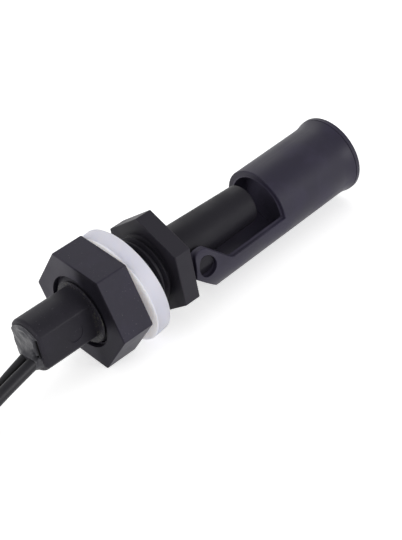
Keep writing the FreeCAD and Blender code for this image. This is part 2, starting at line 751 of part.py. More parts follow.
def make_wiring():
    """Solder joints, sleeved return wire and the two cores that enter the resin."""
    back = size["thread_length"] + size["boss_length"]
    front = size["tube_reach"] - size["tip_wall"] - size["reed_front_gap"]
    rear = front - size["reed_length"]
    lead_front, lead_rear = front + size["lead_length"], rear - size["lead_length"]
    low, high = -size["reed_drop"], size["return_rise"]
    joint = size["solder_radius"]
    bridge = slab("solder_front", lead_front, -joint, low - joint, size["solder_length"] / 2,
                  2 * joint, high - low + 2 * joint)
    rear_joint = lead_rear - size["solder_length"]
    pieces = [bridge]
    pieces.append(rod("solder_rear_low", rear_joint, size["solder_length"], joint, z=low))
    pieces.append(rod("solder_rear_high", rear_joint, size["solder_length"], joint, z=high))
    pieces.append(rod("return_wire", lead_rear, lead_front - lead_rear, size["lead_radius"], z=high))
    tube = rod("sleeve_tube", lead_rear, lead_front - lead_rear, size["sleeve_radius"], z=high)
    hole = rod("sleeve_hole", lead_rear, lead_front - lead_rear, size["lead_radius"], z=high)
    pieces.append(cut("return_sleeve", tube, hole))
    resin_front = size["pocket_depth"] - back
    core_start = resin_front - size["core_entry"]
    for label, height in (("inner_core_low", low), ("inner_core_high", high)):
        pieces.append(rod(label, core_start, rear_joint - core_start, size["inner_wire_radius"], z=height))
    return pieces


def slot_outline(sketch, width, height):
    """Draw a slot: two straight sides joined by half circles."""
    half = (width - height) / 2
    rise = height / 2
    up, down = rise.value, -rise.value
    right, left = half.value, -half.value
    sketch.addGeometry(Part.LineSegment(Vector(left, down, 0), Vector(right, down, 0)), False)
    bow = Part.Circle(Vector(right, 0, 0), Vector(0, 0, 1), rise.value)
    sketch.addGeometry(Part.ArcOfCircle(bow, -math.pi / 2, math.pi / 2), False)
    sketch.addGeometry(Part.LineSegment(Vector(right, up, 0), Vector(left, up, 0)), False)
    bow = Part.Circle(Vector(left, 0, 0), Vector(0, 0, 1), rise.value)
    sketch.addGeometry(Part.ArcOfCircle(bow, math.pi / 2, 3 * math.pi / 2), False)
    for step in range(4):
        sketch.addConstraint(Sketcher.Constraint("Coincident", step, 2, (step + 1) % 4, 1))
    pin_point(sketch, 0, 1, -half, -rise)
    pin_point(sketch, 0, 2, half, -rise)
    pin_point(sketch, 2, 1, half, rise)
    pin_point(sketch, 2, 2, -half, rise)
    for arc, centre in ((1, half), (3, -half)):
        index = sketch.addConstraint(Sketcher.Constraint("DistanceX", -1, 1, arc, 3, centre.value))
        sketch.setExpression(f"Constraints[{index}]", centre.text)


def make_resin():
    """Resin that fills the boss pocket and rises a little around the cord."""
    body = new_body("resin_fill")
    back = size["thread_length"] + size["boss_length"]
    face = size["resin_recess"] - back
    fill = new_sketch(body, "fill_outline", "YZ_Plane", face)
    double_flat(fill, size["boss_radius"] - size["boss_wall"],
                size["boss_across_flats"] - 2 * size["boss_wall"])
    extrude(body, "Pad", "resin_block", fill, size["pocket_depth"] - size["resin_recess"])
    for name, length, outward in (("meniscus", size["collar_length"], True),
                                  ("meniscus_root", size["collar_root"], False)):
        rim = new_sketch(body, f"{name}_outline", "YZ_Plane")
        rim.AttachmentOffset = Placement(Vector(0, 0, 0), Rotation(Vector(-1, 0, 0), size["cord_slope"].value))
        bind(rim, "AttachmentOffset.Rotation.Angle", size["cord_slope"] * Term(1.0, "1deg"))
        bind(rim, "AttachmentOffset.Base.y", -size["cord_drop"])
        bind(rim, "AttachmentOffset.Base.z", face)
        slot_outline(rim, size["cord_width"] + 2 * size["collar_margin"],
                     size["cord_height"] + 2 * size["collar_margin"])
        extrude(body, "Pad", name, rim, length, reverse=outward)
    sockets = new_sketch(body, "core_sockets", "YZ_Plane", size["pocket_depth"] - back)
    for height in (-size["reed_drop"], size["return_rise"]):
        circle(sockets, term(0), height, size["inner_wire_radius"])
    extrude(body, "Pocket", "core_holes", sockets, size["core_entry"])
    return body


def cord_points():
    """Corner points of the free cord, from the resin meniscus to the hank."""
    back = size["thread_length"].value + size["boss_length"].value
    slope = math.radians(size["cord_slope"].value)
    reach = size["collar_length"].value
    start_x = size["resin_recess"].value - back - reach * math.cos(slope)
    start_z = -size["cord_drop"].value - reach * math.sin(slope)
    points = [Vector(start_x, 0, start_z)]
    points += [Vector(-behind, 0, -below) for behind, below in CORD_ROUTE]
    return points


def rounded_path(points):
    """Straight runs joined by tangent arcs, each as large as its two runs allow."""
    edges = []
    start = points[0]
    for before, corner, after in zip(points, points[1:], points[2:]):
        back, ahead = before - corner, after - corner
        turned = math.pi - back.getAngle(ahead)
        radius = 0.45 * min(back.Length, ahead.Length) / math.tan(turned / 2)
        reach = radius * math.tan(turned / 2)
        back.normalize()
        ahead.normalize()
        middle = corner + (back + ahead).normalize() * (radius / math.cos(turned / 2) - radius)
        begin, end = corner + back * reach, corner + ahead * reach
        edges.append(Part.LineSegment(start, begin).toShape())
        edges.append(Part.Arc(begin, middle, end).toShape())
        print(f"cord bend radius {radius:.1f}")
        start = end
    edges.append(Part.LineSegment(start, points[-1]).toShape())
    return Part.Wire(edges)


def make_cord_tube():
    """Flat cord swept along its free stretch."""
    points = cord_points()
    path = rounded_path(points)
    half = (size["cord_width"].value - size["cord_height"].value) / 2
    rise = size["cord_height"].value / 2
    corners = [Vector(0, -half, -rise), Vector(0, half, -rise), Vector(0, half, rise), Vector(0, -half, rise)]
    section = Part.Wire([
        Part.LineSegment(corners[0], corners[1]).toShape(),
        Part.Arc(corners[1], Vector(0, half + rise, 0), corners[2]).toShape(),
        Part.LineSegment(corners[2], corners[3]).toShape(),
        Part.Arc(corners[3], Vector(0, -half - rise, 0), corners[0]).toShape(),
    ])
    heading = points[1] - points[0]
    section.Placement = Placement(points[0], Rotation(Vector(-1, 0, 0), heading))
    item = doc.addObject("Part::Feature", "cord_tube")
    item.Label = "cord_tube"
    item.Shape = path.makePipeShell([section], True, False)
    area = Part.Face(section).Area
    print(f"cord tube volume {item.Shape.Volume:.1f}, section times length {area * path.Length:.1f}")
    return item


def half_ring(label, radius, width, centre_x, centre_y, facing):
    """Half a ring that lies on the surface under the part; width is its radial size."""
    solids = []
    for name, reach in (("outer", radius), ("inner", radius - width)):
        solid = doc.addObject("Part::Cylinder", f"{label}_{name}")
        solid.Angle = 180
        solid.Placement = Placement(Vector(0, 0, 0), Rotation(Vector(0, 0, 1), facing))
        bind(solid, "Radius", reach)
        bind(solid, "Height", size["cord_width"])
        place(solid, centre_x, centre_y, -size["floor_drop"])
        solids.append(solid)
    return cut(label, *solids)


def make_hank():
    """Closed solid of the put-away cord: one and a half laps that lie on edge."""
    near, straight = -size["hank_near_end"], size["hank_straight"]
    far = near - straight
    half = size["cord_height"] / 2
    bend, step = size["hank_outer_radius"], size["hank_lap_step"]
    band = size["cord_height"] + step
    floor, tall = -size["floor_drop"], size["cord_width"]
    jacket_end = far + size["hank_end_run"]
    shapes = [
        half_ring("far_bend", bend + half, band, far, bend, 90),
        half_ring("near_bend", bend - step / 2 + half, size["cord_height"], near, bend + step / 2, -90),
        slab("near_side", far, -half, floor, straight, band, tall),
        slab("lead_in", near, -half, floor, size["hank_lead"], size["cord_height"], tall),
        slab("outer_lap", far, 2 * bend - half, floor, straight, size["cord_height"], tall),
        slab("last_lap", far, 2 * bend - half - step, floor, jacket_end - far, band, tall),
    ]
    hank = doc.addObject("Part::MultiFuse", "cord_hank")
    hank.Label = "cord_hank"
    hank.Shapes = shapes
    hank.Refine = True
    return hank


def make_tie():
    """Band around the two laps of the near side."""
    gap, wall = size["tie_gap"], size["tie_thickness"]
    half = size["cord_height"] / 2
    start = -size["hank_near_end"] - size["hank_straight"] / 2
    band = size["cord_height"] + size["hank_lap_step"]
    floor = -size["floor_drop"]
    outside = slab("tie_outside", start, -half - gap - wall, floor, size["tie_width"],
                   band + 2 * (gap + wall), size["cord_width"] + gap + wall)
    inside = slab("tie_inside", start, -half - gap, floor, size["tie_width"],
                  band + 2 * gap, size["cord_width"] + gap)
    return cut("hank_tie", outside, inside)


def make_cord_ends():
    """The split cores and their bare ends."""
    jacket_end = size["hank_end_run"] - size["hank_near_end"] - size["hank_straight"]
    y = 2 * size["hank_outer_radius"] - size["hank_lap_step"]
    low = size["cord_height"] / 2 - size["floor_drop"]
    high = low + size["cord_height"]
    pieces = []
    for label, height in (("low", low), ("high", high)):
        pieces.append(rod(f"core_{label}", jacket_end, size["core_length"], size["core_radius"], y, height))
        pieces.append(rod(f"tinned_end_{label}", jacket_end + size["core_length"], size["tinned_length"],
                          size["tinned_radius"], y, height))
    return pieces


def report(item):
    """Print one line on a piece and return whether it is a sound solid."""
    shape = item.Shape
    if shape.isNull():
        print(f"{item.Label} has no shape")
        return False
    sound = shape.isValid() and len(shape.Solids) == 1
    box = shape.BoundBox
    print(f"{item.Label:18s} {'ok ' if sound else 'BAD'} volume {shape.Volume:9.2f}"
          f"  x {box.XMin:8.2f} {box.XMax:8.2f}  y {box.YMin:7.2f} {box.YMax:7.2f}"
          f"  z {box.ZMin:7.2f} {box.ZMax:7.2f}")
    return sound


def build():
    """Make every piece, check it and write its STEP file."""
    pieces = [make_stem(), make_lock_nut(), make_gasket(), make_float_shell(), make_float_cap(),
              make_magnet(), *make_reed(), *make_wiring(), make_resin(), make_cord_tube(), make_hank(),
              make_tie(), *make_cord_ends()]
    doc.recompute()
    failed = [item.Label for item in doc.Objects if "Invalid" in item.State or "Error" in item.State]
    print("features in error:", failed)
    sound = [report(item) for item in pieces]
    if failed or not all(sound):
        raise RuntimeError(f"not written: {failed}")
    os.makedirs("parts", exist_ok=True)
    for item in pieces:
        item.Shape.exportStep(f"parts/{item.Label}.step")
    print(f"{len(pieces)} pieces written")


build()
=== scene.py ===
"""Looks of a side-mounted float level switch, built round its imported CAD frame.

Lengths are written in millimetres and turned to metres where meshes are made. The frame's
origin is the centre of the flange's sealing face: X runs into the tank, Y along the hinge, Z up.
"""

import json
import logging
import math
from dataclasses import dataclass
from enum import Enum
from typing import Any

import bmesh  # noqa: E402
import bpy  # noqa: E402
from mathutils import Matrix, Vector, noise  # noqa: E402

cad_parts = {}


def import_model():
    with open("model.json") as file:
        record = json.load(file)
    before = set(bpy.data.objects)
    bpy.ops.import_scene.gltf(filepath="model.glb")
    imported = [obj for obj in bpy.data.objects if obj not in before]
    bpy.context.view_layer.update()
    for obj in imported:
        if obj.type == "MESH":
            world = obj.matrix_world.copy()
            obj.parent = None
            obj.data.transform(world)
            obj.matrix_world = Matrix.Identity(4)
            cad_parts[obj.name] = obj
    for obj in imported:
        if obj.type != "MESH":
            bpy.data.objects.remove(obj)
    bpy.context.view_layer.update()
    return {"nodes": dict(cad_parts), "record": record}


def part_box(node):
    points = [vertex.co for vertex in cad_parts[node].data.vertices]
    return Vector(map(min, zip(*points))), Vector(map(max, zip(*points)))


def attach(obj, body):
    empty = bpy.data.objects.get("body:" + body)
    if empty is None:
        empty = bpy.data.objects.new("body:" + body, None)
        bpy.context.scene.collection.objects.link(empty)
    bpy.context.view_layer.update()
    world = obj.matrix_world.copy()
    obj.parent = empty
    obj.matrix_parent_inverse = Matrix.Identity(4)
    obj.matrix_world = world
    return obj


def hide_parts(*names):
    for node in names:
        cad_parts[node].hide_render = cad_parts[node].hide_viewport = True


LOG = logging.getLogger("float_switch")
MM = 0.001

# edges that turn by more degrees stay sharp
SHARP_ABOVE = 32.0
# vertices that are nearer, in millimetres, become one
MERGE = 1e-3
FINE_MERGE = 1e-4
# roughness of a surface that doesn't shine
MATT = 0.9

Material = bpy.types.Material
Piece = bpy.types.Object
Mesh = bmesh.types.BMesh
Edge = bmesh.types.BMEdge
Vertex = bmesh.types.BMVert
Colour = tuple[float, float, float]
Point = tuple[float, float, float]
Span = tuple[float, float]

BLACK: Colour = (0.0, 0.0, 0.0)


class Axis(Enum):
    """The frame's axes."""

    X = Vector((1.0, 0.0, 0.0))
    Y = Vector((0.0, 1.0, 0.0))
    Z = Vector((0.0, 0.0, 1.0))


# ---------------- shader building


class Value:
    """A shader output on which maths is written as Python expressions."""

    def __init__(self, shader: "Shader", output: Any) -> None:
        """Wrap one output socket of a shader's node."""
        self.shader = shader
        self.output = output

    def _maths(self, operation: str, first: Any, second: Any) -> "Value":
        """Add one Math node."""
        return self.shader.node("ShaderNodeMath", {"operation": operation}, {0: first, 1: second})

    def __add__(self, other: Any) -> "Value":
        """Add a value or a number."""
        return self._maths("ADD", self, other)

    __radd__ = __add__

    def __sub__(self, other: Any) -> "Value":
        """Take a value or a number away."""
        return self._maths("SUBTRACT", self, other)

    def __rsub__(self, other: Any) -> "Value":
        """Take this value away from a number."""
        return self._maths("SUBTRACT", other, self)

    def __mul__(self, other: Any) -> "Value":
        """Multiply by a value or a number."""
        return self._maths("MULTIPLY", self, other)

    __rmul__ = __mul__

    def at_most(self, other: Any) -> "Value":
        """The smaller of two values."""
        return self._maths("MINIMUM", self, other)

    def at_least(self, other: Any) -> "Value":
        """The larger of two values."""
        return self._maths("MAXIMUM", self, other)

    def stepped(self, start: float, end: float) -> "Value":
        """Rise smoothly from 0 to 1 between two input values."""
        inputs = {0: self, 1: start, 2: end, 3: 0.0, 4: 1.0}
        return self.shader.node("ShaderNodeMapRange", {"interpolation_type": "SMOOTHSTEP"}, inputs)

    def stepped_mm(self, start: float, end: float) -> "Value":
        """Rise smoothly from 0 to 1 between two places in millimetres."""
        return self.stepped(start * MM, end * MM)

    def over(self, low: float, swing: float) -> "Value":
        """Spread 0 to 1 over a swing upwards from a low end."""
        return self * swing + low


class Shader:
    """One material and the nodes that are added to it."""

    def __init__(self, name: str) -> None:
        """Start a node material with a Principled shader.

        Args:
            name: the material's name.
        """
        self.material = bpy.data.materials.new(name)
        self.material.use_nodes = True
        self.tree = self.material.node_tree
        self.principled = self.tree.nodes["Principled BSDF"]

    @classmethod
    def of_tree(cls, tree: bpy.types.NodeTree) -> "Shader":
        """Add nodes to a tree that is not a material's.

        Args:
            tree: the tree.

        Returns:
            A shader that has no material.
        """
        shader = cls.__new__(cls)
        shader.tree = tree
        return shader

    def node(self, kind: str, settings: dict[str, Any] | None = None,
             inputs: dict[Any, Any] | None = None, output: Any = 0) -> Value:
        """Add one node.

        Args:
            kind: the node's type.
            settings: properties that are set before its sockets.
            inputs: a number, colour or Value for each named or numbered socket.
            output: the socket to hand back.

        Returns:
            The chosen output.
        """
        made = self.tree.nodes.new(kind)
        for name, setting in (settings or {}).items():
            setattr(made, name, setting)
        for name, value in (inputs or {}).items():
            self.feed(made.inputs[name], value)
        return Value(self, made.outputs[output])

    def feed(self, socket: bpy.types.NodeSocket, value: Any) -> None:
        """Fill one socket.

        Args:
            socket: the socket.
            value: a Value to link to it, or the number or colour to set on it.
        """
        if isinstance(value, Value):
            self.tree.links.new(value.output, socket)
        elif isinstance(value, tuple) and len(value) == 3 and socket.type == "RGBA":
            socket.default_value = (*value, 1.0)
        else:
            socket.default_value = value

    def surface(self, **sockets: Any) -> None:
        """Set or feed the Principled shader's sockets, named with underscores for spaces."""
        for name, value in sockets.items():
            self.feed(self.principled.inputs[name.replace("_", " ")], value)

    def cover(self, share: Value, colour: Colour) -> None:
        """Cover a share of the surface with a layer that doesn't shine.

        Args:
            share: how much of the surface is covered, from 0 to 1.
            colour: the layer's colour.
        """
        layer = {"Base Color": colour, "Roughness": MATT, "Specular IOR Level": 0.0}
        matt = self.node("ShaderNodeBsdfPrincipled", inputs=layer, output="BSDF")
        bare = Value(self, self.principled.outputs["BSDF"])
        both = self.node("ShaderNodeMixShader", inputs={0: share, 1: bare, 2: matt})
        self.feed(self.tree.nodes["Material Output"].inputs["Surface"], both)

    def place(self) -> Value:
        """The Object coordinates."""
        return self.node("ShaderNodeTexCoord", output="Object")

    def vectors(self, operation: str, first: Value, second: Point = (0.0, 0.0, 0.0),
                output: Any = 0) -> Value:
        """Add one Vector Math node on a vector and a fixed one."""
        inputs = {0: first, 1: second}
        return self.node("ShaderNodeVectorMath", {"operation": operation}, inputs, output)

    def reach(self, place: Value) -> Value:
        """Distance from the stem's axis."""
        across = self.vectors("MULTIPLY", place, (0.0, 1.0, 1.0))
        return self.vectors("LENGTH", across, output="Value")

    def part(self, vector: Value, axis: Axis) -> Value:
        """One coordinate of a vector."""
        return self.node("ShaderNodeSeparateXYZ", inputs={0: vector}, output=axis.name)

    def noise(self, scale: float, detail: float, roughness: float = 0.55) -> Value:
        """Fractal noise from 0 to 1 on Object coordinates."""
        inputs = {"Vector": self.place(), "Scale": scale, "Detail": detail, "Roughness": roughness}
        return self.node("ShaderNodeTexNoise", inputs=inputs, output="Fac")

    def blend(self, factor: Any, first: Any, second: Any) -> Value:
        """Mix two colours."""
        inputs = {0: factor, 6: first, 7: second}
        return self.node("ShaderNodeMix", {"data_type": "RGBA"}, inputs, output=2)

    def bump(self, height: Value, strength: float, distance: float) -> Value:
        """Turn a height into a Normal."""
        inputs = {"Height": height, "Strength": strength, "Distance": distance}
        return self.node("ShaderNodeBump", inputs=inputs, output="Normal")


# ---------------- finishes


@dataclass(frozen=True)
class MouldedPlastic:
    """Filled polypropylene straight from the mould: a fine grain, clouds and a little dust."""

    name: str
    colour: Colour
    roughness: float
    gloss: float = 0.24
    grain_depth: float = 0.012
    dust_share: float = 0.35
    dust_edge: Span = (0.70, 0.78)
    dust_colour: Colour = (0.16, 0.155, 0.17)
    cloud_edge: Span = (0.42, 0.72)
    cloud_lift: float = 1.35

    def make(self) -> Material:
        """Build the material.

        Returns:
            The material.
        """
        shader = Shader(self.name)
        clouds = shader.noise(scale=140.0, detail=4.0).stepped(*self.cloud_edge)
        grain = shader.noise(scale=5200.0, detail=2.0) * self.grain_depth
        specks = shader.noise(scale=2600.0, detail=1.0).stepped(*self.dust_edge)
        lifted = tuple(self.cloud_lift * channel for channel in self.colour)
        colour = shader.blend(clouds, self.colour, lifted)
        colour = shader.blend(specks * self.dust_share, colour, self.dust_colour)
        colour, grain = self.marked(shader, colour, grain)
        shader.surface(
            Base_Color=colour,
            Roughness=clouds.over(low=self.roughness - 0.03, swing=0.10),
            Normal=shader.bump(grain, strength=0.35, distance=MM),
            Specular_IOR_Level=self.gloss,
        )
        return shader.material

    def marked(self, shader: Shader, colour: Value, grain: Value) -> tuple[Value, Value]:
        """Hand back the colour and the grain's height in millimetres, here unchanged."""
        return colour, grain


@dataclass(frozen=True)
class StemPlastic(MouldedPlastic):
    """The stem's plastic: paler on the flange as painted light, darker on the tube as painted
    shade, with paste on the shank.
    """

    # painted light: the flange is paler, for light thrown on it by the white gasket
    flange_painted_light_colour: Colour = (0.0255, 0.0235, 0.0312)
    flange_reach: Span = (8.5, 8.9)
    # painted shade: the tube is darker than the rest of the moulding
    tube_painted_shade_colour: Colour = (0.0135, 0.0124, 0.0172)
    tube_start: Span = (4.6, 5.2)
    paste_colour: Colour = (0.062, 0.060, 0.050)
    paste_rear: Span = (-19.45, -19.35)
    paste_front: Span = (-18.9, -18.8)
    paste_reach: Span = (7.7, 7.9)
    paste_depth: float = 0.45
    crumb_edge: Span = (0.53, 0.66)

    def marked(self, shader: Shader, colour: Value, grain: Value) -> tuple[Value, Value]:
        """Add the flange's painted light and the tube's painted shade, and the paste with its
        rough height.

        Args:
            shader: the material's shader.
            colour: the plain colour.
            grain: the grain's height in millimetres.

        Returns:
            The colour and the height.
        """
        place = shader.place()
        along, reach = shader.part(place, Axis.X), shader.reach(place)
        band = along.stepped_mm(*self.paste_rear)
        band = band * (1.0 - along.stepped_mm(*self.paste_front))
        band = band * (1.0 - reach.stepped_mm(*self.paste_reach))
        crumbs = shader.noise(scale=1500.0, detail=3.0, roughness=0.7)
        share = band * crumbs.stepped(*self.crumb_edge)
        # painted light on the flange, then painted shade on the tube
        colour = shader.blend(reach.stepped_mm(*self.flange_reach), colour, self.flange_painted_light_colour)
        colour = shader.blend(along.stepped_mm(*self.tube_start), colour, self.tube_painted_shade_colour)
        grain = grain + band * crumbs * self.paste_depth
        return shader.blend(share, colour, self.paste_colour), grain


@dataclass(frozen=True)
class NutPlastic(MouldedPlastic):
    """The lock nut's plastic, whose rear face has painted light on one side and painted shade on
    the other.
    """

    rear_face: Span = (-19.0, -18.8)
    # painted light: the +Y, upper part of the rear face is paler, as where light falls on it
    nut_painted_light_colour: Colour = (0.047, 0.043, 0.058)
    lit_side_across: Span = (-1.0, 2.0)
    lit_side_up: Span = (-3.0, 1.0)
    # painted shade: the -Y part of the rear face, in the boss's shadow, gets a dull dark layer
    nut_painted_shade_colour: Colour = (0.003, 0.003, 0.003)
    shade_across: Span = (-4.5, -0.5)
    shade_up: Span = (-2.0, 3.0)

    def marked(self, shader: Shader, colour: Value, grain: Value) -> tuple[Value, Value]:
        """Paint light on one side of the rear face and shade on the other.

        Args:
            shader: the material's shader, which gets the painted shade as a layer.
            colour: the plain colour.
            grain: the grain's height in millimetres.

        Returns:
            The colour and the height.
        """
        along, across, up = (shader.part(shader.place(), axis) for axis in Axis)
        rear = 1.0 - along.stepped_mm(*self.rear_face)
        # painted light on one side of the rear face, painted shade on the other
        painted_light = rear * across.stepped_mm(*self.lit_side_across) * up.stepped_mm(*self.lit_side_up)
        painted_shade = rear * (1.0 - across.stepped_mm(*self.shade_across))
        rising = up.stepped_mm(*self.shade_up).over(low=0.38, swing=0.3)
        shader.cover(painted_shade * rising, self.nut_painted_shade_colour)
        return shader.blend(painted_light, colour, self.nut_painted_light_colour), grain


@dataclass(frozen=True)
class FloatPlastic(MouldedPlastic):
    """The float's plastic, which is paler inside the bore as painted light, where the lamps bring
    too little.
    """

    # painted light: the bore's wall is paler, for light that the lamps don't bring into it
    bore_painted_light_colour: Colour = (0.062, 0.056, 0.086)
    inner_reach: Span = (7.9, 8.4)
    axis_drop: float = 3.4

    def marked(self, shader: Shader, colour: Value, grain: Value) -> tuple[Value, Value]:
        """Lift the colour of the bore's wall, as painted light.

        Args:
            shader: the material's shader.
            colour: the plain colour.
            grain: the grain's height in millimetres.

        Returns:
            The colour and the height.
        """
        place = shader.vectors("ADD", shader.place(), (0.0, 0.0, self.axis_drop * MM))
        # painted light inside the bore
        inside = 1.0 - shader.reach(place).stepped_mm(*self.inner_reach)
        return shader.blend(inside, colour, self.bore_painted_light_colour), grain


@dataclass(frozen=True)
class SoftRubber:
    """Translucent white rubber of the gasket, whose rear face glows with painted light that stands
    in for light carried round through the rubber.
    """

    name: str
    colour: Colour = (0.735, 0.72, 0.845)
    warm_colour: Colour = (0.77, 0.75, 0.74)
    rim: Span = (12.65, 12.9)
    # painted light: the colour that the rear face glows with
    rear_painted_glow: Colour = (0.235, 0.23, 0.235)
    lean: float = 6.0
    rear_face: Span = (-9.6, -9.35)

    def make(self) -> Material:
        """Build the material, warmer on the faces than on the rim, with painted light on the rear
        face.

        Returns:
            The material.
        """
        shader = Shader(self.name)
        place = shader.place()
        lean = math.radians(self.lean)
        facing = (math.cos(lean), 0.0, math.sin(lean))
        along = shader.vectors("DOT_PRODUCT", place, facing, "Value")
        rear = 1.0 - along.stepped_mm(*self.rear_face)
        face = 1.0 - shader.reach(place).stepped_mm(*self.rim)
        tint = face * shader.noise(scale=90.0, detail=3.0).over(low=0.4, swing=0.6)
        grain = shader.noise(scale=3600.0, detail=2.0)
        shader.surface(
            Base_Color=shader.blend(tint, self.colour, self.warm_colour),
            Roughness=grain.over(low=0.45, swing=0.1),
            # painted light: the rear face glows, standing in for light the rubber carries round to
            # it
            Emission_Color=shader.blend(rear, BLACK, self.rear_painted_glow),
            Emission_Strength=1.0,
            Subsurface_Weight=0.85,
            Subsurface_Radius=(1.0, 0.9, 0.78),
            Subsurface_Scale=0.008,
            Normal=shader.bump(grain, strength=0.25, distance=0.01 * MM),
        )
        return shader.material


@dataclass(frozen=True)
class CastResin:
    """Potting resin with soft ripples, painted black and dull down in its gaps as painted shade.
    """

    name: str
    colour: Colour = (0.042, 0.041, 0.049)
    # painted shade: the resin is black where it lies deep in its gaps
    gap_painted_shade_colour: Colour = (0.002, 0.002, 0.002)
    gap_depth: Span = (-32.85, -32.6)

    def make(self) -> Material:
        """Build the material.

        Returns:
            The material.
        """
        shader = Shader(self.name)
        ripple = shader.noise(scale=260.0, detail=2.0)
        haze = shader.noise(scale=700.0, detail=3.0)
        gap = shader.part(shader.place(), Axis.X).stepped_mm(*self.gap_depth)
        shader.surface(
            # painted shade in the gaps
            Base_Color=shader.blend(gap, self.colour, self.gap_painted_shade_colour),
            Roughness=haze.over(low=0.24, swing=0.2).at_least(gap * MATT),
            Normal=shader.bump(ripple, strength=0.5, distance=0.25 * MM),
            Specular_IOR_Level=0.35,
        )
        return shader.material


@dataclass(frozen=True)
class Vinyl:
    """Extruded vinyl of the cord, of its cores and of the tie."""

    name: str
    colour: Colour = (0.013, 0.0125, 0.0165)
    worn_colour: Colour = (0.022, 0.021, 0.027)
    roughness: float = 0.42
    wear_edge: Span = (0.5, 0.8)

    def make(self) -> Material:
        """Build the material.

        Returns:
            The material.
        """
        shader = Shader(self.name)
        wear = shader.noise(scale=420.0, detail=4.0)
        colour = shader.blend(wear.stepped(*self.wear_edge), self.colour, self.worn_colour)
        roughness = wear.over(low=self.roughness - 0.06, swing=0.12)
        colour, roughness = self.marked(shader, colour, roughness)
        shader.surface(
            Base_Color=colour,
            Roughness=roughness,
            Normal=shader.bump(wear, strength=0.2, distance=0.02 * MM),
            Specular_IOR_Level=0.3,
        )
        return shader.material

    def marked(self, shader: Shader, colour: Value, roughness: Value) -> tuple[Value, Value]:
        """Hand back the colour and the roughness, here unchanged."""
        return colour, roughness


@dataclass(frozen=True)
class CordVinyl(Vinyl):
    """The flat cord's vinyl, painted dark and dull down in the two grooves between its cores as
    painted shade.
    """

    # painted shade: the colour down in the grooves
    groove_painted_shade_colour: Colour = (0.0015, 0.0014, 0.0018)
    groove_phase: float = 0.5152
    groove_edge: Span = (0.05, 0.18)

    def marked(self, shader: Shader, colour: Value, roughness: Value) -> tuple[Value, Value]:
        """Paint shade into both grooves, which lie half a turn of the section apart.

        Args:
            shader: the material's shader.
            colour: the plain colour.
            roughness: the plain roughness.

        Returns:
            The colour and the roughness.
        """
        around = shader.part(shader.node("ShaderNodeTexCoord", output="UV"), Axis.Y)
        turns = around * 2.0 + self.groove_phase
        turned = shader.node("ShaderNodeMath", {"operation": "FRACT"}, {0: turns})
        off_groove = (turned - 0.5).at_least(0.5 - turned)
        groove = 1.0 - off_groove.stepped(*self.groove_edge)
        # painted shade in both grooves, dull as well
        return shader.blend(groove, colour, self.groove_painted_shade_colour), roughness.at_least(groove * MATT)


@dataclass(frozen=True)
class Metal:
    """Plated or bare metal."""

    name: str
    colour: Colour
    roughness: float

    def make(self) -> Material:
        """Build the material.

        Returns:
            The material.
        """
        shader = Shader(self.name)
        marks = shader.noise(scale=900.0, detail=4.0)
        roughness = marks.over(low=self.roughness - 0.07, swing=0.15)
        shader.surface(Base_Color=self.colour, Metallic=1.0, Roughness=roughness)
        return shader.material


@dataclass(frozen=True)
class ClearGlass:
    """Glass of the reed capsule."""

    name: str
    colour: Colour = (0.80, 0.90, 0.80)

    def make(self) -> Material:
        """Build the material.

        Returns:
            The material.
        """
        shader = Shader(self.name)
        shader.surface(Base_Color=self.colour, Roughness=0.03, Alpha=0.35, IOR=1.5)
        return shader.material


# ---------------- mesh helpers


def finished(name: str, mesh: Mesh, finish: Material,
             sharp_above: float = SHARP_ABOVE) -> Piece:
    """Turn a bmesh in millimetres into a shown object.

    Args:
        name: the object's name.
        mesh: the bmesh, which is freed.
        finish: its material.
        sharp_above: edges that turn by more degrees stay sharp.

    Returns:
        The object, at the origin and in metres.
    """
    bmesh.ops.remove_doubles(mesh, verts=mesh.verts, dist=FINE_MERGE)
    bmesh.ops.recalc_face_normals(mesh, faces=mesh.faces)
    bmesh.ops.scale(mesh, vec=Vector((MM, MM, MM)), verts=mesh.verts)
    data = bpy.data.meshes.new(name)
    mesh.to_mesh(data)
    mesh.free()
    stale = data.attributes.get("custom_normal")
    if stale:
        data.attributes.remove(stale)
    for polygon in data.polygons:
        polygon.use_smooth = True
    data.set_sharp_from_angle(angle=math.radians(sharp_above))
    data.materials.append(finish)
    piece = bpy.data.objects.new(name, data)
    bpy.context.scene.collection.objects.link(piece)
    flatten = piece.modifiers.new("flat_faces", "WEIGHTED_NORMAL")
    flatten.keep_sharp = True
    flatten.weight = 100
    return piece


def copied_node(node: Piece) -> Mesh:
    """Copy a CAD node's mesh.

    Args:
        node: the node's object.

    Returns:
        The copy, merged and in millimetres.
    """
    mesh = bmesh.new()
    mesh.from_mesh(node.data)
    bmesh.ops.scale(mesh, vec=Vector((1 / MM, 1 / MM, 1 / MM)), verts=mesh.verts)
    bmesh.ops.remove_doubles(mesh, verts=mesh.verts, dist=MERGE)
    return mesh


def cut_away(mesh: Mesh, point: Vector, outward: Vector) -> None:
    """Cut a mesh by a plane and drop what lies outside it."""
    geom = mesh.verts[:] + mesh.edges[:] + mesh.faces[:]
    bmesh.ops.bisect_plane(mesh, geom=geom, plane_co=point, plane_no=outward, clear_outer=True)


def drawn_out_rim(mesh: Mesh) -> list[Vertex]:
    """Extrude a mesh's open edges and hand back the new vertices, not yet moved."""
    drawn = bmesh.ops.extrude_edge_only(mesh, edges=open_edges(mesh))["geom"]
    return [item for item in drawn if isinstance(item, Vertex)]


def open_edges(mesh: Mesh) -> list[Edge]:
    """The edges that have one face."""
    return [edge for edge in mesh.edges if edge.is_boundary]


def reach_of(vert: Vertex) -> float:
    """A vertex's distance from the stem's axis."""
    return math.hypot(vert.co.y, vert.co.z)


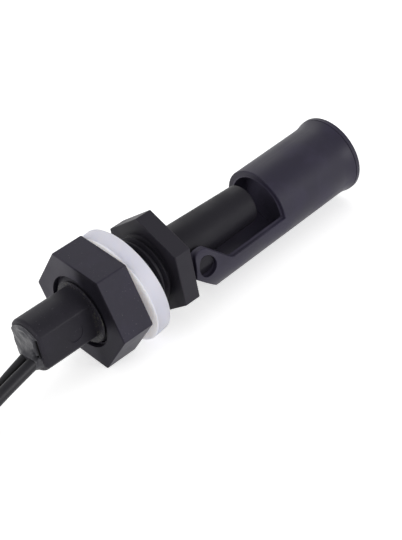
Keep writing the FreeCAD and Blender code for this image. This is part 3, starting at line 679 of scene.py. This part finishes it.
def set_reach(vert: Vertex, reach: float) -> None:
    """Move a vertex straight out or in.

    Args:
        vert: the vertex.
        reach: its new distance from the stem's axis.
    """
    scale = reach / reach_of(vert)
    vert.co.y *= scale
    vert.co.z *= scale


def back_with_sleeve(mesh: Mesh, reach: float) -> None:
    """Close a threaded band with flat ends and a plain wall.

    Args:
        mesh: the band, open at both ends.
        reach: the wall's distance from the stem's axis.
    """
    for vert in drawn_out_rim(mesh):
        set_reach(vert, reach)
    bmesh.ops.bridge_loops(mesh, edges=open_edges(mesh))


# ---------------- sub-assemblies


@dataclass(frozen=True)
class Thread:
    """The screw thread that the shank and the lock nut share, swept as one helical band."""

    crest_radius: float = 7.99
    root_radius: float = 7.12
    pitch: float = 1.5
    crest_flat: float = 0.22
    root_flat: float = 0.34
    start: float = -21.85
    steps_per_turn: int = 72

    def band(self, back: float, front: float, outset: float = 0.0) -> Mesh:
        """Spin one pitch of the section along its helix and cut it off square.

        Args:
            back: the plane of the rear end.
            front: the plane of the front end.
            outset: how much the section is moved outwards.

        Returns:
            The open band between the two planes.
        """
        mesh = bmesh.new()
        flank = (self.pitch - self.crest_flat - self.root_flat) / 2
        section = [
            (0.0, self.root_radius),
            (self.root_flat, self.root_radius),
            (self.root_flat + flank, self.crest_radius),
            (self.root_flat + flank + self.crest_flat, self.crest_radius),
            (self.pitch, self.root_radius),
        ]
        skipped = math.floor((back - self.start) / self.pitch) - 1
        start = self.start + skipped * self.pitch
        corners = [mesh.verts.new((start + along, 0.0, radius + outset))
                   for along, radius in section]
        edges = [mesh.edges.new(pair) for pair in zip(corners, corners[1:])]
        turns = math.ceil((front - start) / self.pitch) + 1
        bmesh.ops.spin(mesh, geom=corners + edges, cent=(0, 0, 0), axis=Axis.X.value,
                       dvec=Axis.X.value * (self.pitch / self.steps_per_turn),
                       angle=math.tau * turns, steps=turns * self.steps_per_turn)
        bmesh.ops.remove_doubles(mesh, verts=mesh.verts, dist=MERGE)
        cut_away(mesh, Axis.X.value * back, -Axis.X.value)
        cut_away(mesh, Axis.X.value * front, Axis.X.value)
        return mesh


@dataclass
class Stem:
    """The stem moulding with its helical thread."""

    thread: Thread
    core_radius: float = 7.0
    shank_end: float = -19.1
    end_radius: float = 7.3
    cad_shank: Span = (7.5, 8.05)
    slack: float = 0.01

    def sleeve(self) -> Mesh:
        """Make the shank's thread with its chamfered rear end.

        Returns:
            The closed sleeve.
        """
        mesh = self.thread.band(self.shank_end, 0.0)
        for vert in mesh.verts:
            allowed = self.end_radius + max(0.0, vert.co.x - self.shank_end)
            if reach_of(vert) > allowed:
                set_reach(vert, allowed)
        back_with_sleeve(mesh, self.core_radius)
        return mesh

    def body(self, node: Piece) -> Mesh:
        """Draw the CAD moulding's shank in to the thread's core.

        Args:
            node: the CAD moulding.

        Returns:
            The changed copy.
        """
        mesh = copied_node(node)
        inner, outer = self.cad_shank
        for vert in mesh.verts:
            on_shank = self.shank_end - self.slack < vert.co.x < self.slack
            if on_shank and inner < reach_of(vert) < outer:
                set_reach(vert, self.core_radius)
        return mesh

    def build(self, nodes: dict[str, Piece], finish: Material) -> None:
        """Build the moulding and its thread and let them ride on the stem.

        Args:
            nodes: the CAD nodes by name.
            finish: the stem's material.
        """
        body = finished("stem_moulding", self.body(nodes["stem_body"]), finish)
        sleeve = finished("stem_thread", self.sleeve(), finish)
        for piece in (body, sleeve):
            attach(piece, "stem")
        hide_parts("stem_body")
        LOG.info("stem: %d thread faces", len(sleeve.data.polygons))


@dataclass
class LockNut:
    """The lock nut with the internal thread that runs on the shank's."""

    thread: Thread
    play: float = 0.12
    sleeve_radius: float = 8.4
    lead_in: float = 1.2
    cad_lead_in: float = 0.5
    cad_bore: float = 8.2

    def body(self, node: Piece, middle: float) -> Mesh:
        """Open the CAD nut's bore up for the thread and deepen its lead-ins.

        Args:
            node: the CAD nut.
            middle: its middle plane.

        Returns:
            The changed copy.
        """
        mesh = copied_node(node)
        depth = self.lead_in - self.cad_lead_in
        for vert in mesh.verts:
            if reach_of(vert) < self.cad_bore:
                set_reach(vert, self.sleeve_radius)
                vert.co.x += depth if vert.co.x < middle else -depth
        return mesh

    def sleeve(self, back: float, front: float) -> Mesh:
        """Make the nut's thread with its crests chamfered at both ends.

        Args:
            back: the plane of the nut's rear face.
            front: the plane of its front face.

        Returns:
            The closed sleeve.
        """
        back += self.lead_in
        front -= self.lead_in
        mesh = self.thread.band(back, front, self.play)
        root = self.thread.crest_radius + self.play
        for vert in mesh.verts:
            needed = root - min(vert.co.x - back, front - vert.co.x)
            if reach_of(vert) < needed:
                set_reach(vert, needed)
        back_with_sleeve(mesh, self.sleeve_radius)
        return mesh

    def build(self, nodes: dict[str, Piece], finish: Material) -> None:
        """Build the nut and its thread and let them ride on the nut's body.

        Args:
            nodes: the CAD nodes by name.
            finish: the nut's material.
        """
        low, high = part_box("lock_nut")
        back, front = low[0] / MM, high[0] / MM
        opened = self.body(nodes["lock_nut"], middle=(back + front) / 2)
        body = finished("nut_moulding", opened, finish)
        sleeve = finished("nut_thread", self.sleeve(back, front), finish)
        for piece in (body, sleeve):
            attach(piece, "nut")
        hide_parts("lock_nut")
        LOG.info("nut: %d thread faces", len(sleeve.data.polygons))


@dataclass
class FloatEnd:
    """The end of the float: its barrel flares a little towards the welded cap."""

    pivot: Point = (9.37, 0.0, -2.22)
    axis_drop: float = 1.42
    tilt: float = 1.94
    barrel_radius: float = 9.04
    rim_radius: float = 9.55
    flare_start: float = 43.9
    flare_power: float = 2.5
    flare_steps: int = 10
    flare_inset: float = 0.03
    barrel_end: float = 47.9
    cap_start: float = 48.05
    cap_end: float = 49.29
    cap_lip: float = 0.12
    weld_drop: float = 0.16
    weld_bulge: float = 0.06
    sunk: float = 0.01
    backing: float = 0.1
    edge: float = 0.32
    edge_turn: int = 15
    dish: Span = (6.4, 6.15)
    dish_depth: float = 0.12
    segments: int = 128

    def seat(self, mesh: Mesh) -> None:
        """Move a mesh from the float's own axis to where the float rests.

        Args:
            mesh: the mesh.
        """
        turn = Matrix.Rotation(math.radians(-self.tilt), 4, Axis.Y.name)
        place = Matrix.Translation(Vector(self.pivot)) @ turn
        place = place @ Matrix.Translation(Vector((0.0, 0.0, -self.axis_drop)))
        bmesh.ops.transform(mesh, matrix=place, verts=mesh.verts)

    def turned(self, profile: list[Span], closed: bool) -> Mesh:
        """Spin a profile round the float's axis and seat it.

        Args:
            profile: the profile's points, each a place along the axis and a radius.
            closed: whether the last point joins the first.

        Returns:
            The seated mesh.
        """
        mesh = bmesh.new()
        corners = [mesh.verts.new((along, 0.0, radius)) for along, radius in profile]
        pairs = list(zip(corners, corners[1:]))
        if closed:
            pairs.append((corners[-1], corners[0]))
        edges = [mesh.edges.new(pair) for pair in pairs]
        bmesh.ops.spin(mesh, geom=corners + edges, cent=(0, 0, 0), axis=Axis.X.value,
                       angle=math.tau, steps=self.segments, use_merge=True)
        bmesh.ops.remove_doubles(mesh, verts=mesh.verts, dist=FINE_MERGE)
        self.seat(mesh)
        return mesh

    def flare(self) -> list[Span]:
        """Draw the barrel's flared end, which starts just under the CAD barrel's surface.

        Returns:
            The profile's points.
        """
        rise = self.rim_radius - self.flare_inset - self.barrel_radius
        length = self.barrel_end - self.flare_start
        inside = self.barrel_radius - self.backing
        profile = []
        for step in range(self.flare_steps + 1):
            share = step / self.flare_steps
            lift = (rise + self.sunk) * share ** self.flare_power
            radius = self.barrel_radius - self.sunk + lift
            profile.append((self.flare_start + length * share, radius))
        weld = self.barrel_end + self.weld_bulge
        profile += [(weld, self.rim_radius - self.weld_drop), (weld, inside)]
        return profile + [(self.flare_start, inside)]

    def cap(self) -> list[Span]:
        """Draw the cap, from the weld to the middle of its slightly dished face.

        Returns:
            The profile's points.
        """
        back = self.cap_start - self.backing
        profile = [(back, 0.0), (back, self.barrel_radius - self.backing),
                   (self.cap_start, self.rim_radius - self.weld_drop),
                   (self.cap_start + self.cap_lip, self.rim_radius)]
        for degrees in range(0, 91, self.edge_turn):
            angle = math.radians(degrees)
            profile.append((self.cap_end - self.edge * (1.0 - math.sin(angle)),
                            self.rim_radius - self.edge * (1.0 - math.cos(angle))))
        dish_rim, dish_foot = self.dish
        floor = self.cap_end - self.dish_depth
        return profile + [(self.cap_end, dish_rim), (floor, dish_foot), (floor, 0.0)]

    def build(self, finish: Material) -> None:
        """Build both pieces and let them ride on the float.

        Args:
            finish: the float's material.
        """
        ring = finished("float_flare", self.turned(self.flare(), closed=True), finish)
        cap = finished("float_cap_skin", self.turned(self.cap(), closed=False), finish)
        for piece in (ring, cap):
            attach(piece, "float")
        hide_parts("float_cap")
        LOG.info("float end: %d faces", len(ring.data.polygons) + len(cap.data.polygons))


@dataclass
class Potting:
    """Cast resin in the boss, domed a little and drawn up the cord where it wetted it."""

    half_width: float = 4.04
    radius: float = 5.24
    arc_step: float = 4.0
    arc_steps: int = 13
    boss_end: float = -32.8
    depth: float = 7.4
    grid_step: float = 0.17

    dome: float = 0.18
    dome_fall: float = 0.5
    far_swell: float = 0.36
    bead: float = 0.46
    bead_inset: float = 0.85
    bead_width: float = 0.34
    bead_side: float = 0.6
    pit: Point = (-2.45, -1.4, 0.6)
    pit_depth: float = 2.2
    pit_edge: int = 4

    # height, seed and scale of each layer of ripples
    ripples: tuple[Point, ...] = ((0.13, 1.3, 0.55), (0.039, 7.1, 1.7))

    cord_centre: float = -3.25
    cord_half_width: float = 2.85
    cord_half_height: float = 1.5
    climb: float = 1.3
    climb_reach: float = 0.3
    climb_most: float = 0.7
    climb_middle: float = 0.75
    climb_fall: float = 8.0

    shrink_depth: float = 4.5
    shrink_width: float = 0.85
    shrink_middle: float = 0.75
    shrink_half_length: float = 2.15
    shrink_power: float = 0.4

    def outline(self) -> Mesh:
        """Cut a fine grid to the pocket's double-flat outline.

        Returns:
            The flat grid.
        """
        mesh = bmesh.new()
        segments = round(2 * self.radius / self.grid_step)
        bmesh.ops.create_grid(mesh, x_segments=segments, y_segments=segments, size=self.radius)
        upright = Matrix.Rotation(math.radians(-90.0), 3, Axis.Y.name)
        bmesh.ops.rotate(mesh, cent=(0, 0, 0), matrix=upright, verts=mesh.verts)
        arc = range(-self.arc_steps, self.arc_steps + 1)
        cuts = [(0.0, self.half_width), (180.0, self.half_width)]
        cuts += [(middle + self.arc_step * step, self.radius)
                 for middle in (90.0, 270.0) for step in arc]
        for degrees, reach in cuts:
            angle = math.radians(degrees)
            outward = Vector((0.0, math.cos(angle), math.sin(angle)))
            cut_away(mesh, outward * reach, outward)
        return mesh

    def height(self, y: float, z: float) -> float:
        """How far the face stands behind the boss's end.

        Args:
            y: place across the boss.
            z: place up the boss.

        Returns:
            The height in millimetres.
        """
        across = y / self.half_width
        share = across ** 2 + (z / self.radius) ** 2
        rise = self.dome * (1.0 - self.dome_fall * share) + self.far_swell * (1.0 + across) / 2
        inset = min(self.half_width - abs(y), self.radius - math.hypot(y, z))
        near_side = max(0.0, min(1.0, self.bead_side - across))
        off_bead = (inset - self.bead_inset) / self.bead_width
        rise += self.bead * near_side * math.exp(-(off_bead ** 2))
        for ripple, seed, scale in self.ripples:
            rise += ripple * noise.noise(Vector((seed, y * scale, z * scale)))
        beyond = max(0.0, abs(y) - (self.cord_half_width - self.cord_half_height))
        away = math.hypot(beyond, z - self.cord_centre) - self.cord_half_height
        wetted = min(self.climb_most, self.climb_middle - y / self.climb_fall)
        rise += self.climb * math.exp(-max(0.0, away) / self.climb_reach) * wetted
        pit_y, pit_z, pit_radius = self.pit
        off_pit = math.hypot(y - pit_y, z - pit_z) / pit_radius
        rise -= self.pit_depth * math.exp(-(off_pit ** self.pit_edge))
        return rise - self.shrinkage(y, z)

    def shrinkage(self, y: float, z: float) -> float:
        """Depth of the gap that the resin left at the near wall as it set.

        Args:
            y: place across the boss.
            z: place up the boss.

        Returns:
            The depth in millimetres.
        """
        side = max(0.0, 1.0 - (y + self.half_width) / self.shrink_width)
        along = (z - self.shrink_middle) / self.shrink_half_length
        ends = max(0.0, 1.0 - along * along)
        return self.shrink_depth * side ** self.shrink_power * ends ** self.shrink_power

    def build(self, finish: Material) -> None:
        """Build the resin and let it ride on the stem.

        Args:
            finish: the resin's material.
        """
        mesh = self.outline()
        for vert in mesh.verts:
            vert.co.x = self.boss_end - self.height(vert.co.y, vert.co.z)
        for vert in drawn_out_rim(mesh):
            vert.co.x = self.boss_end + self.depth
        bmesh.ops.holes_fill(mesh, edges=open_edges(mesh), sides=0)
        piece = finished("potting_resin", mesh, finish, sharp_above=50.0)
        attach(piece, "stem")
        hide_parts("resin_fill")
        LOG.info("resin: %d faces", len(piece.data.polygons))


@dataclass
class FlatCord:
    """The flat two-core cord: its free stretch and the hank that it is put away in."""

    width: float = 5.6
    height: float = 2.8
    web: float = 0.5
    lobe_steps: int = 32
    exit: Point = (-33.709, 0.0, -3.311)
    # after the exit: the CAD cord's own points, some eased sideways a little
    route: tuple[Point, ...] = (
        (-41.9, -0.2, -5.4),
        (-50.3, -0.35, -8.6),
        (-58.0, -0.3, -10.8),
        (-67.5, 0.0, -11.66),
        (-79.0, 0.0, -11.7),
    )
    floor: float = -13.1
    near_end: float = -88.0
    far_end: float = -131.98
    outer_bend: float = 20.5
    corner_angle: float = 22.5
    lap_step: float = 3.2
    jacket_end: float = -118.0
    twist_start: float = -31.0
    twist_end: float = -84.0
    full_twist: float = 90.0

    def profile(self) -> Piece:
        """Draw the figure-eight section.

        Returns:
            A flat closed curve that isn't shown.
        """
        lobe = self.height / 2
        centre = self.width / 2 - lobe
        start = math.pi - math.asin(self.web / lobe)
        around = []
        for side in (1.0, -1.0):
            for step in range(self.lobe_steps + 1):
                angle = -start + 2 * start * step / self.lobe_steps
                across = side * (centre + lobe * math.cos(angle))
                around.append((across, side * lobe * math.sin(angle)))
        data = bpy.data.curves.new("cord_section", "CURVE")
        data.dimensions = "2D"
        data.fill_mode = "NONE"
        spline = data.splines.new("POLY")
        spline.points.add(len(around) - 1)
        for point, (x, y) in zip(spline.points, around):
            point.co = (x * MM, y * MM, 0.0, 1.0)
        spline.use_cyclic_u = True
        section = bpy.data.objects.new("cord_section", data)
        bpy.context.scene.collection.objects.link(section)
        section.hide_render = True
        section.hide_viewport = True
        return section

    def bend(self, centre_x: float, centre_y: float, radius: float, facing: float) -> list[Point]:
        """Control points of one half turn.

        Args:
            centre_x: the centre's place along the stem.
            centre_y: the centre's place across it.
            radius: the bend's radius.
            facing: -1 for the far bend and 1 for the near one.

        Returns:
            Four corners that a smooth spline rounds to the half circle.
        """
        reach = radius / math.cos(math.radians(self.corner_angle))
        height = self.floor + self.width / 2
        corners = []
        for turn in (-3, -1, 1, 3):
            angle = math.radians(turn * self.corner_angle)
            corners.append((centre_x + facing * reach * math.cos(angle),
                            centre_y - facing * reach * math.sin(angle), height))
        return corners

    def resting_height(self, twist: float) -> float:
        """Height of the cord's middle where it lies on the surface, twisted by some degrees."""
        lobe = self.height / 2
        return self.floor + lobe + (self.width / 2 - lobe) * abs(math.sin(math.radians(twist)))

    def line(self) -> list[tuple[Point, float]]:
        """Lay the whole cord out.

        Returns:
            Its control points, each with its twist in degrees.
        """
        span = self.twist_start - self.twist_end
        points = []
        for x, y, z in (self.exit, *self.route):
            twist = self.full_twist * min(1.0, max(0.0, (self.twist_start - x) / span))
            points.append(((x, y, max(z, self.resting_height(twist))), twist))
        height = self.floor + self.width / 2
        middle = self.outer_bend
        half_step = self.lap_step / 2
        inner = self.outer_bend - self.lap_step
        laps = [(self.near_end, 0.0, height)]
        laps += self.bend(self.far_end, middle, self.outer_bend, -1.0)
        laps += self.bend(self.near_end, middle + half_step, self.outer_bend - half_step, 1.0)
        laps += self.bend(self.far_end, middle, inner, -1.0)
        laps.append((self.jacket_end, middle + inner, height))
        return points + [(point, self.full_twist) for point in laps]

    def build(self, nodes: dict[str, Piece], finish: Material) -> None:
        """Args:
            nodes: the CAD nodes by name; not used.
            finish: the cord's material.
        """
        data = bpy.data.curves.new("flat_cord", "CURVE")
        data.dimensions = "3D"
        data.twist_mode = "Z_UP"
        data.resolution_u = 12
        data.bevel_mode = "OBJECT"
        data.bevel_object = self.profile()
        data.use_fill_caps = True
        spline = data.splines.new("NURBS")
        control = self.line()
        spline.points.add(len(control) - 1)
        for point, (place, twist) in zip(spline.points, control):
            point.co = (*(coordinate * MM for coordinate in place), 1.0)
            point.tilt = math.radians(twist)
        spline.order_u = 3
        spline.use_endpoint_u = True
        data.materials.append(finish)
        cord = bpy.data.objects.new("flat_cord", data)
        bpy.context.scene.collection.objects.link(cord)
        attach(cord, "stem")
        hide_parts("cord_tube", "cord_hank")


# ---------------- studio


@dataclass(frozen=True)
class Lamp:
    """One square soft lamp: its place and size in metres, and its power in watts."""

    name: str
    place: Point
    size: float
    watts: float

    def build(self) -> None:
        """Hang the lamp so that it faces the object."""
        data = bpy.data.lights.new(self.name, "AREA")
        data.size = self.size
        data.energy = self.watts
        lamp = bpy.data.objects.new(self.name, data)
        lamp.location = self.place
        lamp.rotation_euler = Vector(self.place).to_track_quat("Z", "Y").to_euler()
        bpy.context.scene.collection.objects.link(lamp)


@dataclass(frozen=True)
class Studio:
    """Camera, floor, backdrop and soft lamps."""

    floor_level: float = -13.12
    floor_glow: float = 0.62
    surround: float = 0.55
    overhead: float = 0.55
    tent_edge: float = 0.1
    focal_length: float = 86.667
    sensor: float = 36.0
    right: Point = (0.71157, -0.68054, -0.17474)
    down: Point = (-0.48995, -0.30234, -0.81764)
    forward: Point = (0.50360, 0.66743, -0.54857)
    offset: Point = (-11.514, -0.648, 279.143)
    lamps: tuple[Lamp, ...] = (
        Lamp("side_lamp", (0.24, -0.80, 0.18), 0.34, 2.25),
        Lamp("rear_lamp", (-0.75, 0.0, 0.42), 0.5, 1.9),
        Lamp("far_lamp", (0.42, 0.52, 0.58), 0.5, 1.0),
    )

    def camera(self) -> None:
        """Place the camera at the viewing angle."""
        rows = Matrix((self.right, self.down, self.forward))
        place = -(rows.transposed() @ Vector(self.offset))
        data = bpy.data.cameras.new("camera")
        data.lens = self.focal_length
        data.sensor_width = self.sensor
        data.sensor_height = self.sensor
        data.sensor_fit = "AUTO"
        data.clip_start = 0.01
        data.clip_end = 20.0
        camera = bpy.data.objects.new("camera", data)
        turned = Matrix((rows[0], -rows[1], -rows[2])).transposed()
        camera.matrix_world = Matrix.Translation(place * MM) @ turned.to_4x4()
        bpy.context.scene.collection.objects.link(camera)
        bpy.context.scene.camera = camera

    def seen_directly(self, shader: Shader) -> Value:
        """Tell camera, glossy and transmission rays from the rest.

        Args:
            shader: the shader that the node is added to.

        Returns:
            1 on those rays and 0 on others.
        """
        seen = shader.node("ShaderNodeLightPath", output="Is Camera Ray")
        glossy = Value(shader, seen.output.node.outputs["Is Glossy Ray"])
        through = Value(shader, seen.output.node.outputs["Is Transmission Ray"])
        return (seen + glossy + through).at_most(1.0)

    def floor(self) -> None:
        """A wide pale floor that keeps the soft shadow of the object."""
        shader = Shader("pale_floor")
        lift = self.seen_directly(shader)
        glow = shader.blend(lift, BLACK, (self.floor_glow,) * 3)
        shader.surface(Base_Color=(0.82, 0.82, 0.82), Roughness=MATT, Emission_Color=glow,
                       Emission_Strength=1.0, Specular_IOR_Level=0.0)
        mesh = bmesh.new()
        bmesh.ops.create_grid(mesh, x_segments=1, y_segments=1, size=6000.0)
        bmesh.ops.translate(mesh, vec=(0, 0, self.floor_level), verts=mesh.verts)
        finished("floor", mesh, shader.material)

    def world(self) -> None:
        """A surround that is white at the horizon and greyer overhead, as in a light tent."""
        world = bpy.data.worlds.new("surround")
        world.use_nodes = True
        shader = Shader.of_tree(world.node_tree)
        background = world.node_tree.nodes["Background"]
        shader.feed(background.inputs["Color"], (1.0, 1.0, 1.0))
        upward = shader.part(shader.node("ShaderNodeTexCoord", output="Generated"), Axis.Z)
        shown = 1.0 - upward.stepped(self.tent_edge, 1.0) * (1.0 - self.overhead)
        seen = self.seen_directly(shader)
        shader.feed(background.inputs["Strength"], seen * (shown - self.surround) + self.surround)
        bpy.context.scene.world = world

    def build(self) -> None:
        """Set up the whole studio."""
        self.camera()
        self.floor()
        self.world()
        for lamp in self.lamps:
            lamp.build()
        bpy.context.scene.view_settings.view_transform = "Standard"


def make_finishes() -> dict[str, Material]:
    """Make every finish once.

    Returns:
        The materials, by the record's slot that each is named after.
    """
    kinds = (
        StemPlastic("housing_black", (0.0178, 0.0164, 0.0226), roughness=0.5, gloss=0.17,
                    dust_share=0.2),
        NutPlastic("nut_black", (0.0272, 0.0246, 0.0375), roughness=0.46, gloss=0.14,
                   grain_depth=0.02),
        FloatPlastic("float_black", (0.0235, 0.0203, 0.0368), roughness=0.46, dust_share=0.0),
        SoftRubber("gasket_white"),
        Metal("ferrite", (0.10, 0.10, 0.105), roughness=0.6),
        ClearGlass("reed_glass"),
        Metal("reed_metal", (0.62, 0.60, 0.56), roughness=0.3),
        Metal("solder", (0.68, 0.68, 0.69), roughness=0.28),
        Metal("copper_wire", (0.80, 0.45, 0.30), roughness=0.3),
        Vinyl("wire_jacket", roughness=0.3),
        CastResin("resin_black"),
        CordVinyl("cord_jacket"),
        Vinyl("tie_black", colour=(0.03, 0.03, 0.03)),
    )
    return {kind.name: kind.make() for kind in kinds}


def dress_nodes(frame: dict[str, Any], finishes: dict[str, Material]) -> None:
    """Give every CAD node the finish of its slot in the record.

    Args:
        frame: the loaded frame.
        finishes: the materials by slot.
    """
    for entry in frame["record"]["subparts"]:
        worn = frame["nodes"][entry["node"]].data.materials
        worn.clear()
        worn.append(finishes[entry["material_slot"]])


def main() -> None:
    """Build the whole scene."""
    logging.basicConfig(level=logging.INFO, format="%(message)s")
    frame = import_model()
    finishes = make_finishes()
    dress_nodes(frame, finishes)
    Studio().build()
    FlatCord().build(frame["nodes"], finishes["cord_jacket"])
    thread = Thread()
    Stem(thread).build(frame["nodes"], finishes["housing_black"])
    LockNut(thread).build(frame["nodes"], finishes["nut_black"])
    Potting().build(finishes["resin_black"])
    FloatEnd().build(finishes["float_black"])
    bpy.context.view_layer.update()


if __name__ == "__main__":
    main()
